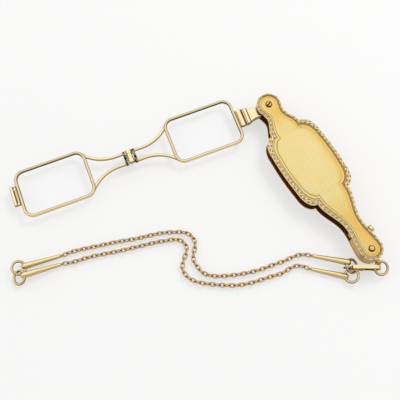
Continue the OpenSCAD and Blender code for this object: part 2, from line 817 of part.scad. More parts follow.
back_plate();
back_border();
front_plate();
front_border();
side_wall();
case_eye();
pivot_screw();
pivot_bush();
pivot_washers();
bottom_rivet();
catch_lever();
catch_button();
catch_spring();
arm_shank();
near_block();
near_screws();
near_rim();
near_lens();
near_bridge();
hinge_pin();
hinge_cap();
far_bridge();
far_rim();
far_lens();
far_block();
far_screws();
case_ring();
clip_swivel();
clip_body();
clip_gate();
clip_pin();
ring_a();
ring_b();
ring_c();
ring_d();
baton_upper_right();
baton_upper_left();
baton_lower_right();
baton_lower_left();
chain_upper();
chain_lower();
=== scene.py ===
import math

import bmesh
import bpy
from mathutils import Matrix, Vector


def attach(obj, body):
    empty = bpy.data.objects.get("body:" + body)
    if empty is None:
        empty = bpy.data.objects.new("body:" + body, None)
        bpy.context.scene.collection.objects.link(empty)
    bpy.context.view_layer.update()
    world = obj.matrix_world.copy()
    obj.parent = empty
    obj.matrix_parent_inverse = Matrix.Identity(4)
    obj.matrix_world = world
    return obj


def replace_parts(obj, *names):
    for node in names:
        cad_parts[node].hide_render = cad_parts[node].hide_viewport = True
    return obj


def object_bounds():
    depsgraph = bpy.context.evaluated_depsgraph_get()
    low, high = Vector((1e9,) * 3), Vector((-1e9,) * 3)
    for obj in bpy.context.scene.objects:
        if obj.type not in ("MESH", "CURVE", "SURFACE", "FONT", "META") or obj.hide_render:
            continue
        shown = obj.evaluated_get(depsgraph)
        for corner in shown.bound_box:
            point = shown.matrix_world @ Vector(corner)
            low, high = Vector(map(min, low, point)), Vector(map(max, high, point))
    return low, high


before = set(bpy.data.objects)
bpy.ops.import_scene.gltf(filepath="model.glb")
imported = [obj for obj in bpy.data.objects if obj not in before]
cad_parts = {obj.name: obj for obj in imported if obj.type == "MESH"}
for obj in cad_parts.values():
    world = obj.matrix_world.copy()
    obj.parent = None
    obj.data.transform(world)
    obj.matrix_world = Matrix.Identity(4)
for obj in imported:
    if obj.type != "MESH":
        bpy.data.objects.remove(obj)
cad_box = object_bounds()


# Camera: looks down on the table from the open side of the case, level with the horizon.
# Its place and lens are those that lay the pivot, both hinges and all four rings where
# the photograph has them. Sizes are written in millimetres, and the scene is in metres.
MM = 0.001
CAMERA_AT = Vector((-83.649, -80.648, 247.011)) * MM
LOOKS_AT = Vector((-44.605, -18.036, 0)) * MM


def aim(thing, place, target):
    """Puts a camera or a lamp at a place and turns it towards a point."""
    thing.location = place
    thing.rotation_euler = (target - place).to_track_quat("-Z", "Y").to_euler()
    bpy.context.scene.collection.objects.link(thing)


camera_data = bpy.data.cameras.new("camera")
camera_data.sensor_width = 36
camera_data.lens = 57.31
camera = bpy.data.objects.new("camera", camera_data)
aim(camera, CAMERA_AT, LOOKS_AT)
bpy.context.scene.camera = camera
bpy.context.scene.view_settings.view_transform = "Standard"


# Chains: two strands of oval links, drawn from thin gold wire, each link closed with
# solder round the next and turned a quarter round its length. The strands lie loose on
# the table from the batons by the case to those at the far end.
LINK_WIRE = 0.52
LINK_WIDTH = 2.0
LINK_PITCH = 1.92
LINK_GAP = 0.12
LINK_ROLL = 20
LINK_BEND = (LINK_WIDTH - LINK_WIRE) / 2
LINK_RUN = LINK_PITCH / 2 + (LINK_WIRE + LINK_GAP) / 2 - LINK_BEND
LINK_BEND_STEPS = 7
LINK_SIDES = 8
CHAIN_Z = LINK_BEND * math.cos(math.radians(LINK_ROLL)) + LINK_WIRE / 2
ROUTE_STEPS = 6
UPPER_ROUTE = [
    (-20, -60.5), (-22.5, -58.5), (-25.5, -57.5), (-29.5, -57), (-34, -56), (-39, -55),
    (-44, -53.5), (-49, -51.5), (-54, -49), (-57.5, -46.5), (-59.5, -44), (-60, -41),
    (-60, -38), (-58.5, -35.5), (-56.5, -33.5), (-55.5, -31.5), (-55.5, -29), (-57, -26.5),
    (-60, -24.5), (-63.5, -22.5), (-67, -21), (-74.5, -18.5), (-82, -15.5), (-89, -13),
    (-96, -10.5), (-99.5, -9.5), (-102.5, -9),
]
LOWER_ROUTE = [
    (-23.5, -64.5), (-25, -62.5), (-27, -61), (-30, -60.5), (-33.5, -60.5), (-37, -59.5),
    (-41, -58.5), (-45, -57.5), (-49, -56), (-52, -54.5), (-56.5, -51.5), (-61, -48),
    (-64, -45), (-65.5, -42), (-65.5, -38.5), (-63.5, -36), (-61, -34), (-59.5, -32),
    (-59.5, -29.5), (-61.5, -27), (-65, -25.5), (-68.5, -24), (-76, -21.5), (-83.5, -19),
    (-91.5, -16), (-96.5, -14.5), (-100.5, -13.5), (-104, -12),
]


def smooth_route(route):
    """A smooth line through all points of a route, in millimetres."""
    points = [Vector((x, y, CHAIN_Z)) for x, y in route]
    line = []
    for i in range(len(points) - 1):
        before, here, after = points[max(i - 1, 0)], points[i], points[i + 1]
        beyond = points[min(i + 2, len(points) - 1)]
        for step in range(ROUTE_STEPS):
            t = step / ROUTE_STEPS
            line.append((2 * here + (after - before) * t
                         + (2 * before - 5 * here + 4 * after - beyond) * t ** 2
                         + (3 * here - before - 3 * after + beyond) * t ** 3) / 2)
    return line + [points[-1]]


def even_stops(line, count):
    """Stops at equal lengths, each as a span of the line and a share of it, and the length."""
    runs = [0.0]
    for a, b in zip(line, line[1:]):
        runs.append(runs[-1] + (b - a).length)
    stops, span = [], 0
    for i in range(count + 1):
        want = runs[-1] * i / count
        while span < len(line) - 2 and runs[span + 1] < want:
            span += 1
        stops.append((span, (want - runs[span]) / (runs[span + 1] - runs[span])))
    return stops, runs[-1]


def sweep(bm, sections, closed):
    """Joins equal rings of points into a skin of quads and returns their vertices."""
    rings = [[bm.verts.new(p * MM) for p in section] for section in sections]
    for i in range(len(rings) if closed else len(rings) - 1):
        a, b = rings[i], rings[(i + 1) % len(rings)]
        for k in range(len(a)):
            m = (k + 1) % len(a)
            bm.faces.new((a[k], a[m], b[m], b[k]))
    return rings


def finish_piece(bm, name, material, body, crease):
    """Turns the mesh into an object with its material, riding on a body."""
    bmesh.ops.recalc_face_normals(bm, faces=bm.faces)
    mesh = bpy.data.meshes.new(name)
    bm.to_mesh(mesh)
    bm.free()
    for face in mesh.polygons:
        face.use_smooth = True
    mesh.set_sharp_from_angle(angle=math.radians(crease))
    mesh.materials.append(material)
    piece = bpy.data.objects.new(name, mesh)
    bpy.context.scene.collection.objects.link(piece)
    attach(piece, body)
    return piece


def linear(colour):
    """An sRGB hex colour as the linear colour that a shader takes."""
    parts = [int(colour[i:i + 2], 16) / 255 for i in (1, 3, 5)]
    return [c / 12.92 if c <= 0.04045 else ((c + 0.055) / 1.055) ** 2.4 for c in parts] + [1.0]


def add_node(tree, kind, inputs=None, **settings):
    """Adds a node. Inputs are values, or the outputs of other nodes to link."""
    made = tree.nodes.new(kind)
    for name, value in settings.items():
        setattr(made, name, value)
    for name, value in (inputs or {}).items():
        if isinstance(value, bpy.types.NodeSocket):
            tree.links.new(value, made.inputs[name])
        else:
            made.inputs[name].default_value = value
    return made


def start_material(name):
    """An empty material and its node tree."""
    material = bpy.data.materials.new(name)
    material.use_nodes = True
    material.node_tree.nodes.clear()
    return material, material.node_tree


def noise_scale(mm):
    """Noise scale whose blobs are about this many millimetres across."""
    return 1 / (mm * MM)


def lit_level_faces(tree, place, start, full):
    """How level a surface lies, as 0 to 1: the flanks of a wire or bar against its broad faces, as
    a mask for painted shade on the flanks.
    """
    facing = add_node(tree, "ShaderNodeSeparateXYZ", {"Vector": place.outputs["Normal"]})
    level = add_node(tree, "ShaderNodeMath", {0: facing.outputs["Z"]}, operation="ABSOLUTE")
    lit_share = add_node(tree, "ShaderNodeMapRange",
                      {"Value": level.outputs["Value"], "From Min": start, "From Max": full},
                      interpolation_type="SMOOTHSTEP")
    return lit_share.outputs["Result"]


# Drawn and tumbled gold wire: its two broad faces are painted bright, and its flanks are painted
# a brown shade that outlines every wire and link.
def drawn_gold(name, flank_shade, dulled, polished):
    material, tree = start_material(name)
    place = add_node(tree, "ShaderNodeTexCoord")
    cloud = add_node(tree, "ShaderNodeTexNoise",
                     {"Vector": place.outputs["Object"], "Scale": noise_scale(6), "Detail": 3.0})
    gold = add_node(tree, "ShaderNodeMix",
                    {0: cloud.outputs["Fac"], 6: linear(dulled), 7: linear(polished)},
                    data_type="RGBA")
    # Flanks painted a brown shade by how they face
    tint = add_node(tree, "ShaderNodeMix",
                    {0: lit_level_faces(tree, place, 0.4, 1.0), 6: linear(flank_shade),
                     7: gold.outputs[2]}, data_type="RGBA")
    dull = add_node(tree, "ShaderNodeMapRange",
                    {"Value": cloud.outputs["Fac"], "From Min": 0.3, "From Max": 0.7,
                     "To Min": 0.16, "To Max": 0.3})
    fine = add_node(tree, "ShaderNodeTexNoise",
                    {"Vector": place.outputs["Object"], "Scale": noise_scale(0.5), "Detail": 2.0})
    bump = add_node(tree, "ShaderNodeBump",
                    {"Height": fine.outputs["Fac"], "Strength": 0.15, "Distance": 0.05 * MM})
    metal = add_node(tree, "ShaderNodeBsdfPrincipled",
                     {"Base Color": tint.outputs[2], "Metallic": 1.0,
                      "Roughness": dull.outputs["Result"], "Specular Tint": linear("#B89A68"),
                      "Normal": bump.outputs["Normal"]})
    add_node(tree, "ShaderNodeOutputMaterial", {"Surface": metal.outputs["BSDF"]})
    return material


link_gold = drawn_gold("drawn_gold_links", "#80561F", "#E8C07E", "#FCE0AA")


def wire_ring(centre, outward):
    """Points round the wire of a link, in the plane of outward and the link's own axis."""
    angles = [2 * math.pi * k / LINK_SIDES for k in range(LINK_SIDES)]
    axis = Vector((0, 0, 1))
    return [centre + LINK_WIRE / 2 * (math.cos(a) * outward + math.sin(a) * axis) for a in angles]


def chain_strand(name, route):
    """The links of one strand, and the line and length they follow."""
    line = smooth_route(route)
    length = even_stops(line, 1)[1]
    stops = even_stops(line, round(length / LINK_PITCH))[0]
    ends = [line[span].lerp(line[span + 1], t) for span, t in stops]
    bm = bmesh.new()
    for i, (a, b) in enumerate(zip(ends, ends[1:])):
        heading = Matrix.Rotation(math.atan2(b.y - a.y, b.x - a.x), 3, "Z")
        turn = heading @ Matrix.Rotation(math.radians(LINK_ROLL + i % 2 * 90), 3, "X")
        sections = []
        for end in (1, -1):
            for k in range(LINK_BEND_STEPS + 1):
                angle = math.radians(-90 + 180 * k / LINK_BEND_STEPS) + (0 if end > 0 else math.pi)
                outward = Vector((math.cos(angle), math.sin(angle), 0))
                centre = Vector((end * LINK_RUN, 0, 0)) + LINK_BEND * outward
                sections.append([(a + b) / 2 + turn @ p for p in wire_ring(centre, outward)])
        sweep(bm, sections, closed=True)
    piece = finish_piece(bm, name, link_gold, "case", crease=180)
    return piece, [p * MM for p in line], length * MM


for name, node, route, hung in (
        ("upper_chain", "chain_upper", UPPER_ROUTE,
         ("baton_upper_right", "ring_a", "clip_swivel", "clip_body", "clip_gate", "clip_pin",
          "baton_upper_left", "ring_c")),
        ("lower_chain", "chain_lower", LOWER_ROUTE,
         ("baton_lower_right", "ring_b", "baton_lower_left", "ring_d"))):
    strand, line, length = chain_strand(name, route)
    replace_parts(strand, node)


# Rings, clip and batons: turned and bent from the same gold wire. Each baton tapers from
# its drilled head to a soldered loop. The clip's eye turns in a collar riveted behind. The
# clip's gate and pin are painted dark all over as shade, as they lie below the clip's body.
wire_gold = drawn_gold("drawn_gold_wire", "#C4A460", "#F2D898", "#FFF3CE")
# The rings' flanks are painted a deeper brown shade than the batons'
ring_gold = drawn_gold("drawn_gold_rings", "#5C4018", "#E6CA8C", "#FAE9BC")
# The clip's gate and pin are painted dark all over as shade
shaded_gold = drawn_gold("shaded_gold_wire", "#3A280C", "#5E4A20", "#8A7038")


def finish_nodes(material, *names):
    """Gives CAD nodes that are shown as they are their material."""
    for name in names:
        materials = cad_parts[name].data.materials
        materials.clear()
        materials.append(material)


finish_nodes(ring_gold, "case_ring", "ring_a", "ring_b", "ring_c", "ring_d", "clip_swivel")
finish_nodes(wire_gold, "clip_body", "baton_upper_right", "baton_upper_left",
             "baton_lower_right", "baton_lower_left")
finish_nodes(shaded_gold, "clip_gate", "clip_pin")


# Case plates: two sheets of gold pressed over a die, so that each has a raised panel with
# a rolled edge inside a sunken groove. They are held by the pivot screw and lower rivet.
CASE_LENGTH = 71.3
CASE_WIDTH = 24
CASE_THICKNESS = 7.45
PIVOT_END_RADIUS = 5.1
RIVET_END_RADIUS = 4.7
NECK_WIDTH = 8.2
UPPER_NOTCH_WIDTH = 13.6
LOWER_NOTCH_WIDTH = 14.6
WAIST_WIDTH = 7.2
NECK_AT = 5
NECK_FROM = 30
UPPER_NOTCH_AT = 12.3
LOWER_NOTCH_AT = 45.8
WAIST_AT = 60
SHOULDER = 7.1
SIDE_BULGE = 0.4
SHEET = 0.6
BORDER_WIDTH = 1.5
BORDER_HEIGHT = 0.65
GROOVE = 0.42
LAND = 0.7
CROWN = 0.1
CROWN_FULL_AT = 8
FIELD_STEPS = 8
# Soil and painted shade, and wear and painted light, first on the right half of a plate and then on
# its left, where light falls differently
GROOVE_SOIL_AND_SHADE = (1.0, 0.35)
GROOVE_SOIL_AND_SHADE_FROM = (0.25, 0.35)
LAND_WEAR_AND_LIGHT = (0.6, 1.1)
LINE_SOIL_AND_SHADE = (0.1, 0.5)
LINE_WEAR = 0.3
FIELD_EDGE_WEAR_AND_LIGHT = (0.35, 1.2)
FIELD_LIGHT_FADE = (0.5, -0.2)
FIELD_WEAR_FULL_AT = 5


def half_outline(inset, steps):
    """The case's right half from the top down, in millimetres, drawn in by inset."""
    def ramp(x1, y1, x2, y2):
        return [(x1 + (x2 - x1) * (1 - math.cos(math.pi * i / steps)) / 2,
                 y1 + (y2 - y1) * i / steps) for i in range(1, steps + 1)]

    def oval(x, y, wide, high, start, end):
        angles = [math.radians(start + (end - start) * i / steps) for i in range(steps + 1)]
        return [(x + wide * math.cos(a), y + high * math.sin(a)) for a in angles]

    # The ends, neck, notches and waist draw in less than the sides, as they lie aslant
    top = PIVOT_END_RADIUS - 0.7 * inset
    end = RIVET_END_RADIUS - 0.75 * inset
    neck = NECK_WIDTH / 2 - 0.8 * inset
    upper = UPPER_NOTCH_WIDTH / 2 - 0.9 * inset
    lower = LOWER_NOTCH_WIDTH / 2 - 0.9 * inset
    waist = WAIST_WIDTH / 2 - 0.8 * inset
    side = CASE_WIDTH / 2 - SIDE_BULGE - inset
    upper_y = -UPPER_NOTCH_AT - inset - SHOULDER
    lower_y = -LOWER_NOTCH_AT + inset + SHOULDER
    turn = math.radians(NECK_FROM)
    return (
        oval(0, 0, top, top, 90, -NECK_FROM)
        + ramp(top * math.cos(turn), -top * math.sin(turn), neck, -NECK_AT)
        + ramp(neck, -NECK_AT, upper, -UPPER_NOTCH_AT - 0.35 * inset)
        + oval(upper, upper_y, side - upper, SHOULDER, 90, 0)
        + [(side + SIDE_BULGE * math.sin(math.pi * i / steps),
            upper_y + (lower_y - upper_y) * i / steps) for i in range(1, steps)]
        + oval(lower, lower_y, side - lower, SHOULDER, 0, -90)
        + [(lower, -LOWER_NOTCH_AT + 0.35 * inset)]
        + ramp(lower, -LOWER_NOTCH_AT + 0.35 * inset, waist, -WAIST_AT)
        + ramp(waist, -WAIST_AT, end, -CASE_LENGTH)
        + oval(0, -CASE_LENGTH, end, end, 0, -90)[1:]
    )


def outline(inset, steps):
    """The case's whole outline, from the top down its right side and up its left."""
    half = half_outline(inset, steps)
    return half + [(-x, y) for x, y in half[-2:0:-1]]


def plate_point(x, y, depth, front):
    """A point at a depth below the outer face of the front or the back plate."""
    return Vector((x, y, CASE_THICKNESS - depth if front else depth))


# Engine-turned gold: cuts that cross at a slant give the panel a silky sparkle of small
# lozenges. The real cuts are about 0.3 mm apart and too fine to show, so they are drawn
# 0.8 mm apart. The panel is rubbed pale at its middle and painted paler on its left and
# darker on its right as light falls; soil and painted shade fill the groove, and the inner
# faces between the plates are painted dark as shade.
def engine_turned_gold(spacing=0.8, slant=40):
    material, tree = start_material("engine_turned_gold")
    place = add_node(tree, "ShaderNodeTexCoord")
    cloud = add_node(tree, "ShaderNodeTexNoise",
                     {"Vector": place.outputs["Object"], "Scale": noise_scale(9), "Detail": 2.0})
    wear_and_light = add_node(tree, "ShaderNodeAttribute", attribute_name="wear_and_light")
    soil_and_shade = add_node(tree, "ShaderNodeAttribute", attribute_name="soil_and_shade")
    inside = add_node(tree, "ShaderNodeAttribute", attribute_name="inside")
    patch = add_node(tree, "ShaderNodeMath",
                     {0: cloud.outputs["Fac"], 1: wear_and_light.outputs["Fac"], 2: -0.15},
                     operation="MULTIPLY_ADD", use_clamp=True)
    face = add_node(tree, "ShaderNodeMix",
                    {0: wear_and_light.outputs["Fac"], 6: linear("#F9CC64"), 7: linear("#FDEBA2")},
                    data_type="RGBA")
    bright = add_node(tree, "ShaderNodeMix",
                      {0: patch.outputs["Value"], 6: face.outputs[2], 7: linear("#FFF6C4")},
                      data_type="RGBA")
    tint = add_node(tree, "ShaderNodeMix",
                    {0: soil_and_shade.outputs["Fac"], 6: bright.outputs[2], 7: linear("#5C3600")},
                    data_type="RGBA")
    # The bands of a wave texture lie pi / 10 / scale apart
    heights = []
    for angle in (slant, -slant):
        turned = add_node(tree, "ShaderNodeMapping",
                          {"Vector": place.outputs["Object"],
                           "Rotation": (0, 0, math.radians(angle))})
        cuts = add_node(tree, "ShaderNodeTexWave",
                        {"Vector": turned.outputs["Vector"], "Scale": math.pi / 10 / (spacing * MM),
                         "Distortion": 0.0},
                        wave_type="BANDS", bands_direction="X", wave_profile="SIN")
        heights.append(cuts.outputs["Fac"])
    grain = add_node(tree, "ShaderNodeMath", {0: heights[0], 1: heights[1]}, operation="MULTIPLY")
    bump = add_node(tree, "ShaderNodeBump",
                    {"Height": grain.outputs["Value"], "Strength": 0.8, "Distance": 0.1 * MM})
    cut = add_node(tree, "ShaderNodeMapRange",
                   {"Value": grain.outputs["Value"], "From Min": 0.05, "From Max": 0.6,
                    "To Min": 0.34, "To Max": 0.0})
    lined = add_node(tree, "ShaderNodeMix",
                     {0: cut.outputs["Result"], 6: tint.outputs[2], 7: linear("#DCA648")},
                     data_type="RGBA")
    # Inner faces between the plates painted dark as shade
    shade = add_node(tree, "ShaderNodeMix",
                     {0: inside.outputs["Fac"], 6: lined.outputs[2], 7: linear("#8C5626")},
                     data_type="RGBA")
    metal = add_node(tree, "ShaderNodeBsdfPrincipled",
                     {"Base Color": shade.outputs[2], "Metallic": 1.0, "Roughness": 0.4,
                      "Normal": bump.outputs["Normal"]})
    add_node(tree, "ShaderNodeOutputMaterial", {"Surface": metal.outputs["BSDF"]})
    return material


engraved_gold = engine_turned_gold()


def fill_field(bm, rim, wear_and_light, front):
    """The crowned field, row by row between the two sides of the innermost ring."""
    half = len(rim) // 2
    rows = []
    for i in range(1, half):
        right, left = rim[i], rim[len(rim) - i]
        wide = abs(right.co.x) / MM
        row = [right]
        for k in range(1, FIELD_STEPS):
            t = k / FIELD_STEPS
            off_middle = 2 * t - 1
            x = right.co.x + (left.co.x - right.co.x) * t
            crown = CROWN * min(1, wide / CROWN_FULL_AT) * (1 - off_middle ** 2)
            vert = bm.verts.new((x, right.co.y, right.co.z + (crown if front else -crown) * MM))
            # The field is painted darker towards its right edge and paler towards its left, as
            # light falls
            faded = FIELD_LIGHT_FADE[t >= 0.5] * off_middle ** 4
            vert[wear_and_light] = (1 - faded) * min(1, wide / FIELD_WEAR_FULL_AT)
            row.append(vert)
        rows.append(row + [left])
    for a, b in zip(rows, rows[1:]):
        for k in range(FIELD_STEPS):
            bm.faces.new((a[k], a[k + 1], b[k + 1], b[k]))
    for tip, row in ((rim[0], rows[0]), (rim[half], rows[-1])):
        for k in range(FIELD_STEPS):
            bm.faces.new((tip, row[k], row[k + 1]))


def case_plate(name, front):
    """One plate: inner face, edge, groove, rolled land, engraved line and crowned field."""
    inner = BORDER_HEIGHT + SHEET
    roll = BORDER_WIDTH + GROOVE
    line = roll + LAND
    profile = [(0.05, inner), (0, inner - 0.05), (0, BORDER_HEIGHT),
               (BORDER_WIDTH - 0.1, BORDER_HEIGHT), (roll - 0.05, BORDER_HEIGHT), (roll, 0.6),
               (roll, 0.38), (roll + 0.08, 0.27), (roll + 0.22, 0.21), (roll + 0.4, 0.2),
               (roll + 0.6, 0.23), (line, 0.3), (line + 0.26, 0.3), (line + 0.4, 0.24)]
    bm = bmesh.new()
    wear_and_light, soil_and_shade, inside = [bm.verts.layers.float.new(layer)
                            for layer in ("wear_and_light", "soil_and_shade", "inside")]
    sections = [[plate_point(x, y, depth, front) for x, y in outline(inset, 8)]
                for inset, depth in profile]
    rings = sweep(bm, sections, closed=False)
    for ring, (inset, depth) in zip(rings, profile):
        for vert in ring:
            left = vert.co.x < 0
            # The groove is painted with soil and shade, darker on the right half
            in_groove = BORDER_WIDTH < inset and depth > GROOVE_SOIL_AND_SHADE_FROM[left]
            vert[soil_and_shade] = GROOVE_SOIL_AND_SHADE[left] if in_groove else 0
            vert[wear_and_light] = LAND_WEAR_AND_LIGHT[left]
    for vert in rings[-3] + rings[-2]:
        vert[soil_and_shade] = LINE_SOIL_AND_SHADE[vert.co.x < 0]
        vert[wear_and_light] = LINE_WEAR
    for vert in rings[-1]:
        vert[wear_and_light] = FIELD_EDGE_WEAR_AND_LIGHT[vert.co.x < 0]
    # Inner faces between the plates: painted dark as shade
    for vert in rings[0] + rings[1]:
        vert[inside] = 1
    bm.faces.new(rings[0])
    fill_field(bm, rings[-1], wear_and_light, front)
    piece = finish_piece(bm, name, engraved_gold, "case", crease=35)
    return piece


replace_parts(case_plate("back_panel", front=False), "back_plate")
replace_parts(case_plate("front_panel", front=True), "front_plate")


# Borders: a band of cast and chased gold soldered round each plate. A running scroll
# throws a leaf to either side in turn, and the ground behind it is matted and dark.
SCROLL = 4.0
CARVED = 0.34
PROUD = 0.35
BORDER_STEPS = 1400
BAND_STEPS = 12


def carving_height(across, along):
    """Height of the leafwork, 0 to 1, across the band from 0 to 1 and along it in scrolls."""
    side = 2 * across - 1
    beat = along % 1
    sway = math.sin(2 * math.pi * beat)
    stem = math.exp(-((side - 0.5 * sway) / 0.22) ** 2)
    # A leaf on the hollow side of each bend, with its veins
    leaf_side = -1 if beat < 0.5 else 1
    middle = (beat * 2) % 1 - 0.5
    spread = math.hypot(middle / 0.42, (side - leaf_side * 0.35) / 0.6)
    veins = 0.7 + 0.3 * math.cos(2 * math.pi * (2.6 * middle + side * leaf_side))
    leaf = max(0, 1 - spread ** 2) * veins
    edge = 0.7 * math.exp(-((abs(side) - 0.92) / 0.12) ** 2)
    return max(stem, 0.85 * leaf, edge)


# Cast and chased gold: the leaves are burnished pale on top, and the punched ground
# between them stays rough and brown, so the band looks like light lace on a dark ribbon.
def chased_gold():
    material, tree = start_material("cast_and_chased_gold")
    place = add_node(tree, "ShaderNodeTexCoord")
    relief = add_node(tree, "ShaderNodeAttribute", attribute_name="relief")
    burnished = add_node(tree, "ShaderNodeMapRange",
                         {"Value": relief.outputs["Fac"], "From Min": 0.1, "From Max": 0.55},
                         interpolation_type="SMOOTHSTEP")
    tint = add_node(tree, "ShaderNodeMix",
                    {0: burnished.outputs["Result"], 6: linear("#A07034"), 7: linear("#FFF1C8")},
                    data_type="RGBA")
    fine = add_node(tree, "ShaderNodeTexNoise",
                    {"Vector": place.outputs["Object"], "Scale": noise_scale(0.3), "Detail": 2.0})
    bump = add_node(tree, "ShaderNodeBump",
                    {"Height": fine.outputs["Fac"], "Strength": 0.35, "Distance": 0.05 * MM})
    dull = add_node(tree, "ShaderNodeMapRange",
                    {"Value": relief.outputs["Fac"], "To Min": 0.5, "To Max": 0.2})
    metal = add_node(tree, "ShaderNodeBsdfPrincipled",
                     {"Base Color": tint.outputs[2], "Metallic": 1.0,
                      "Roughness": dull.outputs["Result"], "Normal": bump.outputs["Normal"]})
    add_node(tree, "ShaderNodeOutputMaterial", {"Surface": metal.outputs["BSDF"]})
    return material


carved_gold = chased_gold()


def band_stops():
    """Pairs of an outer and an inner point of the band, spread evenly round it."""
    outer, inner = [[Vector((x, y, 0)) for x, y in outline(inset, 24)]
                    for inset in (0, BORDER_WIDTH)]
    outer.append(outer[0])
    inner.append(inner[0])
    stops = even_stops([(a + b) / 2 for a, b in zip(outer, inner)], BORDER_STEPS)[0]
    return [(outer[span].lerp(outer[span + 1], t), inner[span].lerp(inner[span + 1], t))
            for span, t in stops[:-1]]


def case_border(name, front):
    """The carved band as a closed skin over the outer edge of a plate."""
    stops = band_stops()
    steps = [(b[0] + b[1] - a[0] - a[1]).length / 2 for a, b in zip(stops, stops[1:] + stops[:1])]
    total = sum(steps)
    scrolls = 2 * round(total / SCROLL / 2)
    run = 0.0
    sections, reliefs = [], []
    for (outer, inner), step in zip(stops, steps):
        along = run / total * scrolls
        run += step
        lobe = 0.5 - 0.5 * math.cos(2 * math.pi * along)
        outer = outer - (outer - inner).normalized() * PROUD * (1 - lobe)
        section, relief = [], []
        for k in range(BAND_STEPS + 1):
            across = k / BAND_STEPS
            dome = 1 - abs(2 * across - 1) ** 5
            carving = carving_height(across, along)
            height = 0.6 * dome * BORDER_HEIGHT + carving * CARVED * (0.3 + 0.7 * dome)
            at = outer.lerp(inner, across)
            section.append(plate_point(at.x, at.y, max(0, BORDER_HEIGHT - height), front))
            relief.append(carving)
        for foot in (inner, outer):
            section.append(plate_point(foot.x, foot.y, BORDER_HEIGHT, front))
            relief.append(0.2)
        sections.append(section)
        reliefs.append(relief)
    bm = bmesh.new()
    layer = bm.verts.layers.float.new("relief")
    for ring, relief in zip(sweep(bm, sections, closed=True), reliefs):
        for vert, carving in zip(ring, relief):
            vert[layer] = carving
    piece = finish_piece(bm, name, carved_gold, "case", crease=60)
    return piece


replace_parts(case_border("front_carving", front=True), "front_border")
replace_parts(case_border("back_carving", front=False), "back_border")


# Side wall, lug, bush, washers and catch: plain gold strip and sheet. The wall is bent to
# the outline and soldered between the plates, and the catch's lever and leaf spring sit on
# the lower rivet. The catch's button is turned from the same wire as the clip.


# Burnished gold sheet: rubbed smooth with a steel tool, it has a soft and slightly cloudy
# shine, deeper in colour than the handled parts.
def burnished_gold():
    material, tree = start_material("burnished_gold_sheet")
    place = add_node(tree, "ShaderNodeTexCoord")
    cloud = add_node(tree, "ShaderNodeTexNoise",
                     {"Vector": place.outputs["Object"], "Scale": noise_scale(4), "Detail": 3.0})
    tint = add_node(tree, "ShaderNodeMix",
                    {0: cloud.outputs["Fac"], 6: linear("#C2924A"), 7: linear("#DDB268")},
                    data_type="RGBA")
    dull = add_node(tree, "ShaderNodeMapRange",
                    {"Value": cloud.outputs["Fac"], "From Min": 0.3, "From Max": 0.7,
                     "To Min": 0.28, "To Max": 0.42})
    metal = add_node(tree, "ShaderNodeBsdfPrincipled",
                     {"Base Color": tint.outputs[2], "Metallic": 1.0,
                      "Roughness": dull.outputs["Result"]})
    add_node(tree, "ShaderNodeOutputMaterial", {"Surface": metal.outputs["BSDF"]})
    return material


finish_nodes(burnished_gold(), "side_wall", "case_eye", "pivot_bush", "pivot_washers",
             "catch_lever", "catch_spring")
finish_nodes(wire_gold, "catch_button")


# Pivot screw and lower rivet: turned from gold rod. The head is domed inside a sunk ring
# that holds dark grime and painted shade, and the screw has a slot; both shafts pass through both
# plates.
PANEL_HEIGHT = 0.45
SEAT_Z = CASE_THICKNESS - BORDER_HEIGHT + PANEL_HEIGHT
HEAD_SIDES = 48
# From the edge to the middle: share of the head's radius, share of its height, and grime and
# painted shade
HEAD_PROFILE = [(1.0, 0.3, 0.25), (0.94, 0.55, 1), (0.88, 0.28, 1), (0.82, 0.28, 1), (0.76, 0.5, 1),
                (0.7, 0.78, 1), (0.56, 0.9, 0), (0.42, 0.96, 0), (0.28, 0.99, 0), (0.14, 1.0, 0)]
SLOT_DEPTH = 0.3
SLOT_WIDTH = 0.4
SLOT_REACH = 0.72
SLOT_ANGLE = math.radians(19)
# The side of the sunk ring that is painted lighter, towards the light
LIT_SIDE = math.radians(40)


# Turned and polished gold: the dome is a clean bright spot, and grime and painted shade in
# the ring and the slot are matt and nearly black; the ring is painted darker away from the light.
def turned_gold():
    material, tree = start_material("turned_gold_with_grime_and_shade")
    grime_and_shade = add_node(tree, "ShaderNodeAttribute", attribute_name="grime_and_shade")
    tint = add_node(tree, "ShaderNodeMix",
                    {0: grime_and_shade.outputs["Fac"], 6: linear("#EBC67E"), 7: linear("#3A2409")},
                    data_type="RGBA")
    dull = add_node(tree, "ShaderNodeMapRange",
                    {"Value": grime_and_shade.outputs["Fac"], "To Min": 0.22, "To Max": 0.5})
    metal = add_node(tree, "ShaderNodeBsdfPrincipled",
                     {"Base Color": tint.outputs[2], "Metallic": 1.0,
                      "Roughness": dull.outputs["Result"]})
    add_node(tree, "ShaderNodeOutputMaterial", {"Surface": metal.outputs["BSDF"]})
    return material


head_gold = turned_gold()


